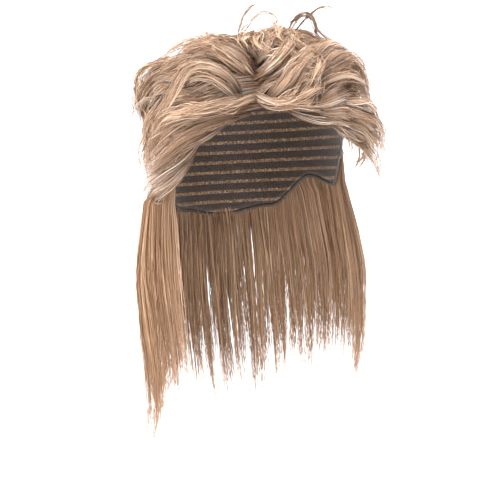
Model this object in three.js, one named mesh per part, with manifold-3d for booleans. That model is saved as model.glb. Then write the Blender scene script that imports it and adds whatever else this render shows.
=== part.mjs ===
// Mullet wig: a stretch-net cap, short waved hair swept off the face to both sides and piled on the crown,
// and long straight hair that hangs from the back of the cap and from behind each ear.
// Millimetres, +Z up, the face looks along -Y. Left and right are the wearer's, so right is -X.
// The origin is the inside of the crown, where the cap sits on the head.
import * as THREE from 'three';
import { mergeVertices } from 'three/addons/utils/BufferGeometryUtils.js';
import Module from 'manifold-3d';

const wasm = await Module();
wasm.setup();

// The head that the cap fits. Below its widest level it narrows by the tuck.
const headWidth = 148;
const headFront = 94;
const headBack = 98;
const crownHeight = 92;
const napeTuck = 0.1;

// The cap and its elastic binding, and the gap between neighbouring pieces.
const capWall = 1.8;
const bindingHeight = 3;
const pieceGap = 0.4;

// The waved hair: the matted layer over the cap, how far the highest locks stand off it, and a lock's size.
const matting = 14;
const waveLift = 32;
const lockWidth = 30;
const lockThickness = 12;

// How far a waved lock swings to and fro across the head and off it, as shares of its thickness and of the
// swing, and how far its arched section leans, as a share of its half width.
const swingAcross = 0.35;
const swingOff = 0.5;
const sectionLean = 0.15;

// The long hair: the drop from the crown to the longest tips, its thickness where it is sewn and where it
// hangs, a tress's width, and how much thicker a tress is than its sheet.
const tailLength = 336;
const sewnThickness = 5;
const tailThickness = 13;
const tressWidth = 30;
const tressExtra = 4;

// How finely the shapes are faceted.
const columns = 24;
const rows = 7;
const lockStations = 6;
const tailStations = 7;

// Angles round the head are measured from the face, positive to the wearer's left, and angles down from the
// crown. These are the cap's edge and the hem of the matted hair.
const capEdge = [
  { around: 0, down: 60 },
  { around: 30, down: 64 },
  { around: 60, down: 76 },
  { around: 78, down: 91 },
  { around: 90, down: 106 },
  { around: 115, down: 101 },
  { around: 145, down: 117 },
  { around: 180, down: 121 },
];
const matHem = [
  { around: 0, down: 65 },
  { around: 30, down: 69 },
  { around: 60, down: 81 },
  { around: 78, down: 92 },
  { around: 95, down: 99 },
  { around: 180, down: 102 },
];

// The hanging hair level by level, from the nape (fall 0) to the longest tips (fall 1): its half width and
// half depth as shares of the head's, and how far its front edges turn in where a piece tucks.
const tailSections = [
  { fall: 0, side: 1.1, back: 1.0, tuck: 0 },
  { fall: 0.3, side: 1.26, back: 0.97, tuck: 0.14 },
  { fall: 0.6, side: 1.3, back: 0.9, tuck: 0.22 },
  { fall: 0.8, side: 1.28, back: 0.85, tuck: 0.24 },
  { fall: 1, side: 1.2, back: 0.8, tuck: 0.24 },
];

// The waved pieces, as parts of the whole round: between two angles round the head.
const wavedPieces = [
  { name: 'right_swept_hair', from: -128, to: -2 },
  { name: 'left_swept_hair', from: -2, to: 128 },
  { name: 'back_waved_hair', from: 128, to: 232 },
];
const crownPiece = { name: 'crown_hair', down: 32 };

// Fans of waved locks, each running from a first lock to a last one. A lock is rooted, passes and ends at
// places given as [around, down], and lift is its height there as shares of waveLift.
const fans = [
  {
    count: 5, waves: 1.6,
    first: { root: [-3, 62], pass: [-52, 76], end: [-98, 109], lift: [0.1, 0.4, 0.35] },
    last: { root: [-6, 40], pass: [-58, 52], end: [-104, 78], lift: [0.1, 0.6, 0.45] },
  },
  {
    count: 4, waves: 1.2,
    first: { root: [-12, 38], pass: [-66, 40], end: [-104, 66], lift: [0.1, 0.95, 1.25] },
    last: { root: [-70, 22], pass: [-106, 40], end: [-122, 70], lift: [0.1, 0.72, 0.95] },
  },
  {
    count: 5, waves: 1.4,
    first: { root: [3, 62], pass: [44, 75], end: [90, 104], lift: [0.1, 0.8, 1.6] },
    last: { root: [2, 42], pass: [50, 54], end: [92, 78], lift: [0.1, 1.3, 2.0] },
  },
  {
    count: 4, waves: 1.2,
    first: { root: [8, 40], pass: [56, 42], end: [86, 66], lift: [0.1, 1.35, 1.75] },
    last: { root: [66, 24], pass: [100, 44], end: [124, 74], lift: [0.1, 0.9, 1.15] },
  },
  {
    count: 3, waves: 1,
    first: { root: [-24, 24], pass: [-12, 44], end: [0, 62], lift: [0.1, 0.7, 0.35] },
    last: { root: [30, 20], pass: [44, 44], end: [40, 66], lift: [0.1, 0.95, 0.8] },
  },
  {
    count: 3, waves: 1,
    first: { root: [-150, 30], pass: [-110, 12], end: [-40, 30], lift: [0.1, 0.35, 0.35] },
    last: { root: [130, 30], pass: [80, 16], end: [44, 34], lift: [0.1, 0.8, 0.95] },
  },
  {
    count: 2, waves: 1.3,
    first: { root: [-104, 46], pass: [-110, 74], end: [-112, 103], lift: [0.1, 0.4, 0.3] },
    last: { root: [-120, 44], pass: [-124, 72], end: [-124, 102], lift: [0.1, 0.6, 0.6] },
  },
  {
    count: 2, waves: 1.3,
    first: { root: [100, 46], pass: [108, 72], end: [110, 99], lift: [0.1, 0.95, 1.2] },
    last: { root: [120, 44], pass: [124, 72], end: [124, 102], lift: [0.1, 0.7, 0.7] },
  },
  {
    count: 4, waves: 1.2,
    first: { root: [140, 20], pass: [145, 46], end: [146, 78], lift: [0.1, 0.7, 0.75] },
    last: { root: [220, 20], pass: [215, 46], end: [214, 78], lift: [0.1, 0.7, 0.75] },
  },
  {
    count: 5, waves: 1.2,
    first: { root: [142, 56], pass: [142, 82], end: [142, 107], lift: [0.1, 0.6, 0.65] },
    last: { root: [218, 56], pass: [218, 82], end: [218, 107], lift: [0.1, 0.6, 0.65] },
  },
];

// The long pieces. Each hangs between two angles round the head as one sheet down to its hem, with tresses on
// it down to the reaches given. Hem and reaches are shares of the fall from the nape to the longest tips.
// Tuck is how much of the turning in its front edge has, and gather is how much it narrows by the tips.
const longPieces = [
  {
    name: 'right_long_hair', from: -146, to: -84, hem: 0.62, tuck: 1, gather: 0.06,
    reaches: [0.74, 0.8, 1, 0.82],
  },
  {
    name: 'back_long_hair', from: 146, to: 214, hem: 0.62, tuck: 0, gather: 0.16,
    reaches: [0.76, 0.84, 0.88, 0.8],
  },
  {
    name: 'left_long_hair', from: 86, to: 146, hem: 0.52, tuck: 0, gather: 0,
    reaches: [0.84, 0.66, 0.8, 0.74],
  },
];

// Where the long hair is sewn on, from one angle down from the crown to the nape's, as the first share of its
// whole way, and the angles round the head between which a tuck grows to its full size.
const sewnFrom = 78;
const napeDown = 112;
const sewnShare = 0.3;
const tuckStart = 108;
const tuckFull = 84;

const radians = THREE.MathUtils.degToRad;
const { lerp, smoothstep } = THREE.MathUtils;
const tau = 2 * Math.PI;

// A value between the rows of a table, easing in and out of each row.
function between(table, key, at, value) {
  const next = table.findIndex((row) => row[key] >= at);
  if (next <= 0) return table[next === 0 ? 0 : table.length - 1][value];
  const [low, high] = [table[next - 1], table[next]];
  return lerp(low[value], high[value], smoothstep(at, low[key], high[key]));
}

// An angle round the head as its distance from the face, 0 to 180 degrees.
const fromFace = (around) => Math.abs(((around + 540) % 360) - 180);

// A point on the head's surface, or off it by a distance. Above its widest level the head is half an
// ellipsoid, and below it the wall goes down and tucks in a little.
function onHead(around, down, off) {
  const turn = radians(around);
  const fall = radians(down);
  const below = Math.max(fall - Math.PI / 2, 0);
  const reach = below > 0 ? 1 - napeTuck * below * below : Math.sin(fall);
  const depth = Math.cos(turn) > 0 ? headFront : headBack;
  const above = below > 0 ? -crownHeight * below : (crownHeight + off) * Math.cos(fall);
  return new THREE.Vector3(
    (headWidth / 2 + off) * reach * Math.sin(turn),
    -(depth + off) * reach * Math.cos(turn),
    above - crownHeight,
  );
}

// How far down the cap's edge is, and a height on the head's wall, both in degrees.
const capDown = (around) => between(capEdge, 'around', fromFace(around), 'down');
const onWall = (height) => THREE.MathUtils.radToDeg(height / crownHeight);

// A closed geometry from rings of points, each ring closed on itself. A pole closes an end with a fan, and
// without poles the end rings are either flattened onto themselves or, in a loop, joined to each other.
function fromRings(rings, poles = [], loop = false) {
  const size = rings[0].length;
  const points = rings.flat();
  const faces = [];
  for (let ring = 0; ring + (loop ? 0 : 1) < rings.length; ring += 1) {
    const after = ((ring + 1) % rings.length) * size;
    for (let side = 0; side < size; side += 1) {
      const next = (side + 1) % size;
      const [a, b] = [ring * size + side, ring * size + next];
      faces.push(a, b, after + side, b, after + next, after + side);
    }
  }
  poles.forEach((pole, which) => {
    const tip = points.push(pole) - 1;
    const start = which === 0 ? 0 : (rings.length - 1) * size;
    for (let side = 0; side < size; side += 1) {
      const pair = [start + side, start + ((side + 1) % size)];
      faces.push(tip, ...(which === 0 ? pair.reverse() : pair));
    }
  });
  const geometry = new THREE.BufferGeometry().setFromPoints(points);
  geometry.setIndex(faces);
  return geometry;
}

// A solid for joining and cutting from a closed geometry. One that is inside out is turned.
function solidOf(geometry) {
  const merged = mergeVertices(geometry, 1e-3);
  const position = merged.getAttribute('position');
  const index = merged.index.array;
  const faces = [];
  for (let face = 0; face < index.length; face += 3) {
    const [a, b, c] = index.slice(face, face + 3);
    if (a !== b && b !== c && c !== a) faces.push([a, b, c]);
  }
  const corner = (which) => new THREE.Vector3().fromBufferAttribute(position, which);
  const volume = faces.reduce((sum, [a, b, c]) => sum + corner(a).dot(corner(b).cross(corner(c))), 0);
  const triVerts = new Uint32Array(faces.flatMap((face) => (volume < 0 ? face.reverse() : face)));
  return new wasm.Manifold(new wasm.Mesh({ numProp: 3, vertProperties: position.array, triVerts }));
}

const join = (solids) => solids.reduce((all, next) => all.add(next));

// The largest body of a solid as a geometry. Crumbs that a cut leaves are dropped.
function geometryOf(solid) {
  const [largest] = solid.decompose().sort((one, other) => other.volume() - one.volume());
  const mesh = largest.getMesh();
  const geometry = new THREE.BufferGeometry();
  geometry.setAttribute('position', new THREE.BufferAttribute(mesh.vertProperties, 3));
  geometry.setIndex(new THREE.BufferAttribute(mesh.triVerts, 1));
  geometry.computeVertexNormals();
  return geometry;
}

// A ring round the head at a distance off it, with its angle down from a function of the angle round.
const headRing = (down, off) =>
  Array.from({ length: columns }, (_, column) => {
    const around = (column * 360) / columns;
    return onHead(around, down(around), off);
  });

// A dome down to an edge. Inside and outside give its distance off the head at a share of the way down.
function dome(inside, outside, edge) {
  const shares = Array.from({ length: rows }, (_, row) => (row + 1) / rows);
  const rings = [
    ...shares.map((share) => headRing((around) => edge(around) * share, outside(share))),
    ...shares.reverse().map((share) => headRing((around) => edge(around) * share, inside(share))),
  ];
  return solidOf(fromRings(rings, [onHead(0, 0, outside(0)), onHead(0, 0, inside(0))]));
}

// Everything inside a surface that stands off the head: faceted as the cap is down to its edge, then past the
// binding, and on down to below the nape.
function headCore(off) {
  const lowest = 150;
  const below = 4;
  const bound = (around) => capDown(around) + onWall(bindingHeight + 2 * pieceGap);
  const stack = (count, down) => Array.from({ length: count }, (_, row) =>
    headRing((around) => down(around, row), off));
  const rings = [
    ...stack(rows, (around, row) => (capDown(around) * (row + 1)) / rows),
    ...stack(below, (around, row) => lerp(bound(around), lowest, row / (below - 1))),
  ];
  return solidOf(fromRings(rings, [onHead(0, 0, off), onHead(0, 0, 0).setZ(rings.at(-1)[0].z)]));
}

// A tapered lock along a path, with a low arched section. The path's stations are { at, out } and the width
// and thickness are functions of the share of the way.
function lock(path, width, thickness) {
  const rings = path.map(({ at, out }, station) => {
    const ahead = path[Math.min(station + 1, path.length - 1)].at;
    const behind = path[Math.max(station - 1, 0)].at;
    const along = ahead.clone().sub(behind).normalize();
    const across = along.clone().cross(out).normalize();
    const up = across.clone().cross(along);
    const share = station / (path.length - 1);
    const [half, high] = [width(share) / 2, thickness(share) / 2];
    const lean = half * sectionLean;
    return [[-half, 0], [-lean, high], [half, 0], [lean, -high]].map(([x, y]) =>
      at.clone().addScaledVector(across, x).addScaledVector(up, y));
  });
  return solidOf(fromRings(rings, [path[0].at, path.at(-1).at]));
}

// The value at a share of the way of a curve that starts, passes and ends at three values.
const curve = ([start, pass, end], share) =>
  start * (1 - share) * (1 - 2 * share) + pass * 4 * share * (1 - share) + end * share * (2 * share - 1);

// One waved lock of a fan, from its first lock at share 0 to its last at share 1.
function wavedLock({ first, last, waves }, share, phase) {
  const pair = (place) => first[place].map((value, axis) => lerp(value, last[place][axis], share));
  const [root, pass, end] = ['root', 'pass', 'end'].map(pair);
  const lifts = pair('lift');
  const base = capWall + pieceGap + lockThickness / 2;
  const path = Array.from({ length: lockStations }, (_, station) => {
    const way = station / (lockStations - 1);
    const swing = Math.sin(tau * waves * way + phase) * way * lockThickness * swingAcross;
    const around = curve([root[0], pass[0], end[0]], way);
    const down = curve([root[1], pass[1], end[1]], way) + onWall(swing);
    const off = base + curve(lifts, way) * (waveLift - lockThickness) + swing * swingOff;
    const at = onHead(around, down, off);
    return { at, out: onHead(around, down, off + 1).sub(at) };
  });
  const width = (way) => lockWidth * (0.6 + 0.4 * Math.sin(Math.PI * way)) * (1 - 0.75 * way ** 4);
  const thickness = (way) => lockThickness * (1 - 0.7 * way ** 4);
  return lock(path, width, thickness);
}

// A point of a long piece's hanging part, at an angle round the head and a share of the fall, moved outwards
// by off.
function onTail({ from, to, tuck, gather }, around, fall, off) {
  const read = (value) => between(tailSections, 'fall', fall, value);
  const middle = (from + to) / 2;
  const turn = radians(middle + (around - middle) * (1 - gather * fall));
  const turnedIn = tuck * read('tuck') * smoothstep(-fromFace(around), -tuckStart, -tuckFull);
  const side = (headWidth / 2) * (read('side') - turnedIn) + off;
  const back = headBack * read('back') + off;
  return new THREE.Vector3(
    side * Math.sin(turn),
    -back * Math.cos(turn),
    lerp(onHead(0, napeDown, 0).z, -tailLength, fall),
  );
}

// A point of the long hair at a share of its whole way: sewn to the cap for the first part, and then hanging.
function onLongHair(piece, around, way, fall, off) {
  if (way > sewnShare) return onTail(piece, around, (fall * (way - sewnShare)) / (1 - sewnShare), off);
  const lying = way / sewnShare;
  const on = onHead(around, lerp(sewnFrom, napeDown, lying), capWall + pieceGap + sewnThickness / 2 + off);
  return on.lerp(onTail(piece, around, 0, off), lying ** 2);
}

// The sheet's thickness at a share of the way, growing from where it is sewn to where it hangs.
const hangThickness = (way) =>
  lerp(sewnThickness, tailThickness, smoothstep(way, sewnShare / 2, sewnShare * 2));

// The sheet of a long piece. It is thinned to nothing at its hem, and grown on every side by a margin.
function sheet(piece, grow) {
  const stepAngle = 12;
  const span = Math.max(3, Math.ceil((piece.to - piece.from) / stepAngle));
  const more = THREE.MathUtils.radToDeg((grow * 2) / headWidth);
  const rings = Array.from({ length: tailStations }, (_, station) => {
    const way = station / (tailStations - 1);
    const half = station === tailStations - 1 ? 0 : hangThickness(way) / 2 + grow;
    const side = (off) => Array.from({ length: span + 1 }, (__, step) =>
      onLongHair(piece, lerp(piece.from - more, piece.to + more, step / span), way, piece.hem, off));
    return [...side(half), ...side(-half).reverse()];
  });
  const lip = new THREE.Vector3(0, 0, sewnThickness / 2 + grow);
  rings.unshift(rings[0].map((point, side, ring) => point.clone().lerp(ring.at(-1 - side), 0.5).add(lip)));
  return solidOf(fromRings(rings));
}

// The tresses of a long piece, spread over its sheet, each grown by a margin.
function tresses(piece, grow) {
  const { from, to, reaches } = piece;
  const tressStart = 0.06;
  const margin = 4 * grow;
  return reaches.map((reach, index) => {
    const around = lerp(from, to, (index + 0.5) / reaches.length);
    const path = Array.from({ length: tailStations }, (_, station) => {
      const way = lerp(tressStart, 1, station / (tailStations - 1));
      const at = onLongHair(piece, around, way, reach, 1);
      return { at, out: onLongHair(piece, around, way, reach, 2).sub(at) };
    });
    const width = (way) =>
      tressWidth * (0.8 + 0.2 * Math.sin(Math.PI * way)) * (1 - 0.8 * way ** 5) + margin;
    const thickness = (way) => (hangThickness(way) + tressExtra) * (1 - 0.75 * way ** 5) + margin;
    return lock(path, width, thickness);
  });
}

const longHair = (piece, grow) => join([sheet(piece, grow), ...tresses(piece, grow)]);

// Everything between two angles round the head, half a gap inside each of the two planes.
function sector({ from, to }) {
  const far = tailLength * 2;
  const steps = 4;
  const middle = radians((from + to) / 2);
  const toSide = pieceGap / 2 / Math.sin(radians((to - from) / 2));
  const corner = new THREE.Vector3(Math.sin(middle), -Math.cos(middle), 0).multiplyScalar(toSide);
  const level = (height) => [corner.clone(), ...Array.from({ length: steps + 1 }, (_, step) => {
    const turn = radians(lerp(from, to, step / steps));
    return corner.clone().add(new THREE.Vector3(Math.sin(turn), -Math.cos(turn), 0).multiplyScalar(far));
  })].map((point) => point.setZ(height));
  const rings = [level(far), level(-far)];
  const poles = rings.map((ring) => ring[0].clone().lerp(ring[2], 0.5).setZ(ring[0].z));
  return solidOf(fromRings(rings, poles));
}

// The cone round the crown's axis, from a point at the head's centre, moved up by a margin.
function crownCone(down, rise) {
  const far = crownHeight * 3;
  const turn = radians(down);
  const tip = new THREE.Vector3(0, 0, rise - crownHeight);
  const rim = Array.from({ length: columns }, (_, column) => {
    const around = (column * tau) / columns;
    const ray = new THREE.Vector3(Math.sin(around), -Math.cos(around), 1 / Math.tan(turn));
    return ray.multiplyScalar(far).add(tip);
  });
  return solidOf(fromRings([rim], [tip, tip.clone().setZ(rim[0].z)]));
}

const group = new THREE.Group();
function add(name, solid, material) {
  const mesh = new THREE.Mesh(geometryOf(solid), material.clone());
  mesh.name = name;
  mesh.material.name = name;
  group.add(mesh);
}

const net = new THREE.MeshStandardMaterial({ color: '#3a2f24', roughness: 0.9, metalness: 0 });
const elastic = new THREE.MeshStandardMaterial({ color: '#2b221a', roughness: 0.8, metalness: 0 });
const waved = new THREE.MeshStandardMaterial({ color: '#c2a078', roughness: 0.45, metalness: 0 });
const straight = new THREE.MeshStandardMaterial({ color: '#a98560', roughness: 0.4, metalness: 0 });

add('wig_cap', dome(() => 0, () => capWall, capDown), net);

// The binding runs round the cap just below its edge.
const bindingRings = Array.from({ length: columns }, (_, column) => {
  const around = (column * 360) / columns;
  const top = capDown(around) + onWall(pieceGap);
  const bottom = top + onWall(bindingHeight);
  const corners = [[top, 0], [top, capWall], [bottom, capWall], [bottom, 0]];
  return corners.map(([down, off]) => onHead(around, down, off));
});
add('cap_binding', solidOf(fromRings(bindingRings, [], true)), elastic);

// The long hair.
const skin = headCore(capWall + pieceGap);
for (const piece of longPieces) {
  add(piece.name, longHair(piece, 0).subtract(skin).intersect(sector(piece)), straight);
}

// The waved hair is matting and locks, fused, cut clear of the cap and the long hair, and parted. Each lock's
// wave starts at another point of its swing.
const phaseStep = 2.1;
const hem = (around) => between(matHem, 'around', fromFace(around), 'down');
const mat = dome(() => -matting, (share) => capWall + matting * Math.sqrt(1 - share ** 8), hem);
const locks = fans.flatMap((fan, which) => Array.from({ length: fan.count }, (_, index) =>
  wavedLock(fan, index / (fan.count - 1), which + index * phaseStep)));
const under = join([skin, ...longPieces.map((piece) => longHair(piece, pieceGap))]);
const waves = join([mat, ...locks]).subtract(under);
add(crownPiece.name, waves.intersect(crownCone(crownPiece.down, 0)), waved);
const sides = waves.subtract(crownCone(crownPiece.down, -pieceGap));
for (const piece of wavedPieces) add(piece.name, sides.intersect(sector(piece)), waved);

export default group;
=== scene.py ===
# %% [markdown]
# # A mullet wig
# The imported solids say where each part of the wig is: a net cap with an elastic edge, short waved hair swept
# off the face, and long straight hair hanging behind the ears. Here each solid is replaced by what it stands
# for. Hair is the hard part: it only looks like hair when it is many thin fibres that bend together in locks.
# Hair curves or particles would be quick to comb, but they don't leave Blender as a mesh. So every lock is
# worked out as one smooth path, and its fibres are laid round that path all at once.

# %% Load the frame
import math

import bpy
import numpy as np
from mathutils import Matrix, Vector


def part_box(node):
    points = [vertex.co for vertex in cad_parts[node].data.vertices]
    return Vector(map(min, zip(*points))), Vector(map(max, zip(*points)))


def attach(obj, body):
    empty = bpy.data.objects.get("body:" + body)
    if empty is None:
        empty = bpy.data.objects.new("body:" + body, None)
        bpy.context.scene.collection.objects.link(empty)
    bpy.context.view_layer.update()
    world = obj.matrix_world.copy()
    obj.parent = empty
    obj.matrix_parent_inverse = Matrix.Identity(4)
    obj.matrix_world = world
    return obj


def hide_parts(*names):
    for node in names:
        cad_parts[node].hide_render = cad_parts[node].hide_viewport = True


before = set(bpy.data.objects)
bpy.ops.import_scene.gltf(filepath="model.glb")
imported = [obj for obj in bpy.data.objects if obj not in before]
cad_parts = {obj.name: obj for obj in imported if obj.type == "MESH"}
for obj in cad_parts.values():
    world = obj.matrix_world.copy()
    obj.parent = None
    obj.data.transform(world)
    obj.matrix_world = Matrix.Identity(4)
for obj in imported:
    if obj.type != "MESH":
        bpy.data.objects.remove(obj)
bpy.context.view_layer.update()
MM = 0.001

# %% [markdown]
# ## Where hair grows
# A wig's hair is knotted or sewn to its cap, so a place in it is three numbers: an angle round the cap from
# the face, an angle down from the crown, and a distance off the cap's inner side. Places could be typed as x,
# y and z instead, but then a lock could leave the cap unseen. The same three numbers made the solids, so the
# fibres land where the solids are.

# %% A point off the cap's inner side
HALF_WIDTH, FRONT, BACK, CROWN = 74 * MM, 94 * MM, 98 * MM, 92 * MM
NAPE_TUCK = 0.1
CAP_WALL = 1.8 * MM


def on_cap(around, down, off):
    """Half an ellipsoid above the widest level, grown by off, and below it a wall that tucks in with the
    square of the angle."""
    turn, fall = np.radians(around), np.radians(down)
    below = np.maximum(fall - np.pi / 2, 0)
    reach = np.where(below > 0, 1 - NAPE_TUCK * below**2, np.sin(fall))
    depth = np.where(np.cos(turn) > 0, FRONT, BACK) + off
    rise = np.where(below > 0, -CROWN * below, (CROWN + off) * np.cos(fall))
    side = (HALF_WIDTH + off) * reach * np.sin(turn)
    return np.stack(np.broadcast_arrays(side, -depth * reach * np.cos(turn), rise - CROWN), -1)


def outward(points):
    """The way off the cap at each point: the slope of the ellipsoid above the widest level, level below."""
    depth = np.where(points[..., 1] < 0, FRONT, BACK)
    up = np.maximum(points[..., 2] + CROWN, 0) / CROWN**2
    slope = np.stack([points[..., 0] / HALF_WIDTH**2, points[..., 1] / depth**2, up], -1)
    return slope / np.linalg.norm(slope, axis=-1, keepdims=True)


low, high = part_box("wig_cap")
print("cap in the frame", round(high.x - low.x, 4), "and here", round(2 * (HALF_WIDTH + CAP_WALL), 4))

# %% The cap's edge
# The edge's angle down from the crown, in degrees, at some angles round the cap: high over the face, with a
# tab before each ear, and lowest at the nape.
EDGE_AROUND = [0, 30, 60, 78, 90, 115, 145, 180]
EDGE_DOWN = [60, 64, 76, 91, 106, 101, 117, 121]


def ease(value, start, end):
    """A smooth step from 0 at the start to 1 at the end."""
    share = np.clip((value - start) / (end - start), 0, 1)
    return share * share * (3 - 2 * share)


def edge_down(around):
    """The cap's edge at an angle round it, eased between the table's rows."""
    from_face = np.abs((np.asarray(around, float) + 180) % 360 - 180)
    row = np.clip(np.searchsorted(EDGE_AROUND, from_face) - 1, 0, len(EDGE_AROUND) - 2)
    low, high = np.take(EDGE_AROUND, row), np.take(EDGE_AROUND, row + 1)
    share = ease((from_face - low) / (high - low), 0, 1)
    return np.take(EDGE_DOWN, row) * (1 - share) + np.take(EDGE_DOWN, row + 1) * share


print("edge over the face, at the ear and at the nape:", edge_down([0, 90, 180]), "degrees down")

# %% Points kept outside the cap
BINDING_HEIGHT = 3 * MM
GAP = 0.4 * MM
EDGE_BLEND = 9 * MM
DEEPEST = 0.25


def clear_of_cap(points):
    """Points pushed out from the cap's middle to just past its wall, where they lie in or under it: each is
    divided by the root of the ellipsoid's equation, taken as no less than the deepest value. The push fades
    out over the blend below the cap's edge."""
    room = CAP_WALL + GAP
    level = points[..., 2] + CROWN
    wall = 1 - NAPE_TUCK * (np.maximum(-level, 0) / CROWN) ** 2
    depth = np.where(points[..., 1] < 0, FRONT, BACK) + room
    value = (points[..., 0] / ((HALF_WIDTH + room) * wall)) ** 2 + (points[..., 1] / (depth * wall)) ** 2
    value = value + (np.maximum(level, 0) / (CROWN + room)) ** 2
    around = np.degrees(np.arctan2(points[..., 0], -points[..., 1]))
    over_edge = points[..., 2] - on_cap(around, edge_down(around), 0)[..., 2]
    push = ease(over_edge, -EDGE_BLEND, -BINDING_HEIGHT - GAP)
    grow = 1 + (1 / np.sqrt(np.clip(value, DEEPEST, 1)) - 1) * push
    rise = np.where(level > 0, level * grow, level) - CROWN
    return np.stack([points[..., 0] * grow, points[..., 1] * grow, rise], -1)


sunk = on_cap(0, EDGE_DOWN[0] / 2, -CAP_WALL)
moved = np.linalg.norm(clear_of_cap(sunk) - sunk) / MM
print("a point a wall too deep moves out by", round(float(moved), 1), "mm")

# %% [markdown]
# ## The camera
# It stands where the photograph was taken from: a little to the wearer's right, slightly above, and tilted by
# three degrees. It comes first, because the locks that face it are drawn in the picture and then laid
# on the hair behind the pixel. Placing them by trial in space would take far longer.

# %% Camera
PICTURE = 500
FOCAL_PIXELS = 1390
AZIMUTH, ELEVATION, ROLL = (math.radians(angle) for angle in (-18, 4, -3))
AIM = np.array([-6, 0, -172]) * MM
DISTANCE = 1.2
SENSOR = 36
NEAR, FAR = 0.05, 20
backward = np.array([
    math.sin(AZIMUTH) * math.cos(ELEVATION),
    -math.cos(AZIMUTH) * math.cos(ELEVATION),
    math.sin(ELEVATION),
])
level = np.array([math.cos(AZIMUTH), math.sin(AZIMUTH), 0])
upright = np.cross(backward, level)
rightward = level * math.cos(ROLL) + upright * math.sin(ROLL)
upward = upright * math.cos(ROLL) - level * math.sin(ROLL)
eye = AIM + backward * DISTANCE


def placed(directions, place):
    """The matrix of an object at a place, whose own axes point along three unit vectors."""
    rows = [(*(float(way[row]) for way in directions), float(place[row])) for row in range(3)]
    return Matrix([*rows, (0, 0, 0, 1)])


camera = bpy.data.objects.new("camera", bpy.data.cameras.new("camera"))
bpy.context.collection.objects.link(camera)
camera.data.sensor_width = SENSOR
camera.data.lens = SENSOR * FOCAL_PIXELS / PICTURE
camera.data.clip_start, camera.data.clip_end = NEAR, FAR
camera.matrix_world = placed((rightward, upward, backward), eye)
bpy.context.scene.camera = camera
print("lens", round(camera.data.lens, 1), "mm")

# %% From the picture to the hair
SIGHT_FROM, SIGHT_TO, SIGHT_STEPS = 0.95, 1.4, 1500


def behind_pixel(x, y, off):
    """Where the line of sight through a pixel first meets the surface off the cap, or passes nearest to it:
    the first of many steps along the line that lies inside, or else the step with the lowest value of the
    ellipsoid's equation."""
    x, y, off = (np.asarray(value, float)[:, None] for value in (x, y, off))
    sight = -backward + (x - PICTURE / 2)[..., None] / FOCAL_PIXELS * rightward
    sight = sight - (y - PICTURE / 2)[..., None] / FOCAL_PIXELS * upward
    steps = np.linspace(SIGHT_FROM, SIGHT_TO, SIGHT_STEPS)
    points = eye + sight * steps[None, :, None]
    depth = np.where(points[..., 1] < 0, FRONT, BACK) + off
    over = np.maximum(points[..., 2] + CROWN, 0) / (CROWN + off)
    value = (points[..., 0] / (HALF_WIDTH + off)) ** 2 + (points[..., 1] / depth) ** 2 + over**2
    inside = value <= 1
    first = np.where(inside.any(1), inside.argmax(1), value.argmin(1))
    return points[np.arange(len(first)), first]


middle = behind_pixel([PICTURE / 2], [PICTURE / 4], [0])[0]
print("a quarter down the picture's middle lies the cap's point", np.round(middle, 3).tolist())

# %% [markdown]
# ## Fibres
# A real fibre is 0.08 mm thick, far too fine to show, so each tube here stands for a few that lie together.
# A tube has three sides and closed ends. The tubes of a piece are one mesh, made from arrays, and its UV map
# holds what a fibre's colour depends on: which fibre it is, and how far along it the point lies. The same
# function makes the body of a lock, a flat tube with more sides whose colour number runs across its width.
# A bevelled curve for each fibre would do as well, but would take minutes for thousands of them.

# %% Axes along a path
TINY = 1e-12


def normalised(vectors):
    """Each vector divided by its length."""
    return vectors / np.maximum(np.linalg.norm(vectors, axis=-1, keepdims=True), TINY)


def axes(paths):
    """Along, across and off the cap at each point of some paths."""
    along = normalised(np.gradient(paths, axis=-2))
    across = normalised(np.cross(along, outward(paths)))
    return along, across, np.cross(across, along)


parting = on_cap(0, np.array([0.0, EDGE_DOWN[0]]), 0)
print("along, across and off the cap at the crown:", [np.round(way[0], 2).tolist() for way in axes(parting)])

# %% Tubes along many paths at once
FIBRE_SIDES = 3


def tubes(paths, wide, thick, sides, shade, spread=0.0):
    """Points, quads, end triangles and UV spots of a closed tube along each path: at each station, corners on
    an ellipse with the half axes wide and thick. The UV spot is the tube's shade, plus spread times how far
    across the tube the corner lies, and the share of the way along it."""
    count, stations, _ = paths.shape
    _, across, lift = axes(paths)
    turn = 2 * np.pi * np.arange(sides) / sides
    ring = across[:, :, None] * (wide[..., None] * np.cos(turn))[..., None]
    ring = ring + lift[:, :, None] * (thick[..., None] * np.sin(turn))[..., None]
    points = (paths[:, :, None] + ring).reshape(-1, 3)

    start = (np.arange(count) * stations * sides)[:, None, None]
    station = np.arange(stations - 1)[:, None] * sides
    side, after = np.arange(sides), (np.arange(sides) + 1) % sides
    quads = np.stack([
        start + station + side,
        start + station + after,
        start + station + sides + after,
        start + station + sides + side,
    ], -1).reshape(-1, 4)
    first = start[:, 0]
    last = first + (stations - 1) * sides
    corner = np.arange(1, sides - 1)[None]
    ends = np.concatenate([
        np.stack([first + 0 * corner, first + corner + 1, first + corner], -1).reshape(-1, 3),
        np.stack([last + 0 * corner, last + corner, last + corner + 1], -1).reshape(-1, 3),
    ])
    spot = np.broadcast_to(shade[:, None, None] + spread * np.cos(turn), (count, stations, sides))
    share = np.broadcast_to(np.linspace(0, 1, stations)[None, :, None], spot.shape)
    return points, quads, ends, np.stack([spot, share], -1).reshape(-1, 2)


def joined(parts):
    """Several lots of points, quads, triangles and spots as one."""
    shifts = np.cumsum([0] + [len(part[0]) for part in parts[:-1]])
    return (
        np.concatenate([part[0] for part in parts]),
        np.concatenate([part[1] + shift for part, shift in zip(parts, shifts)]),
        np.concatenate([part[2] + shift for part, shift in zip(parts, shifts)]),
        np.concatenate([part[3] for part in parts]),
    )


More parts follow.
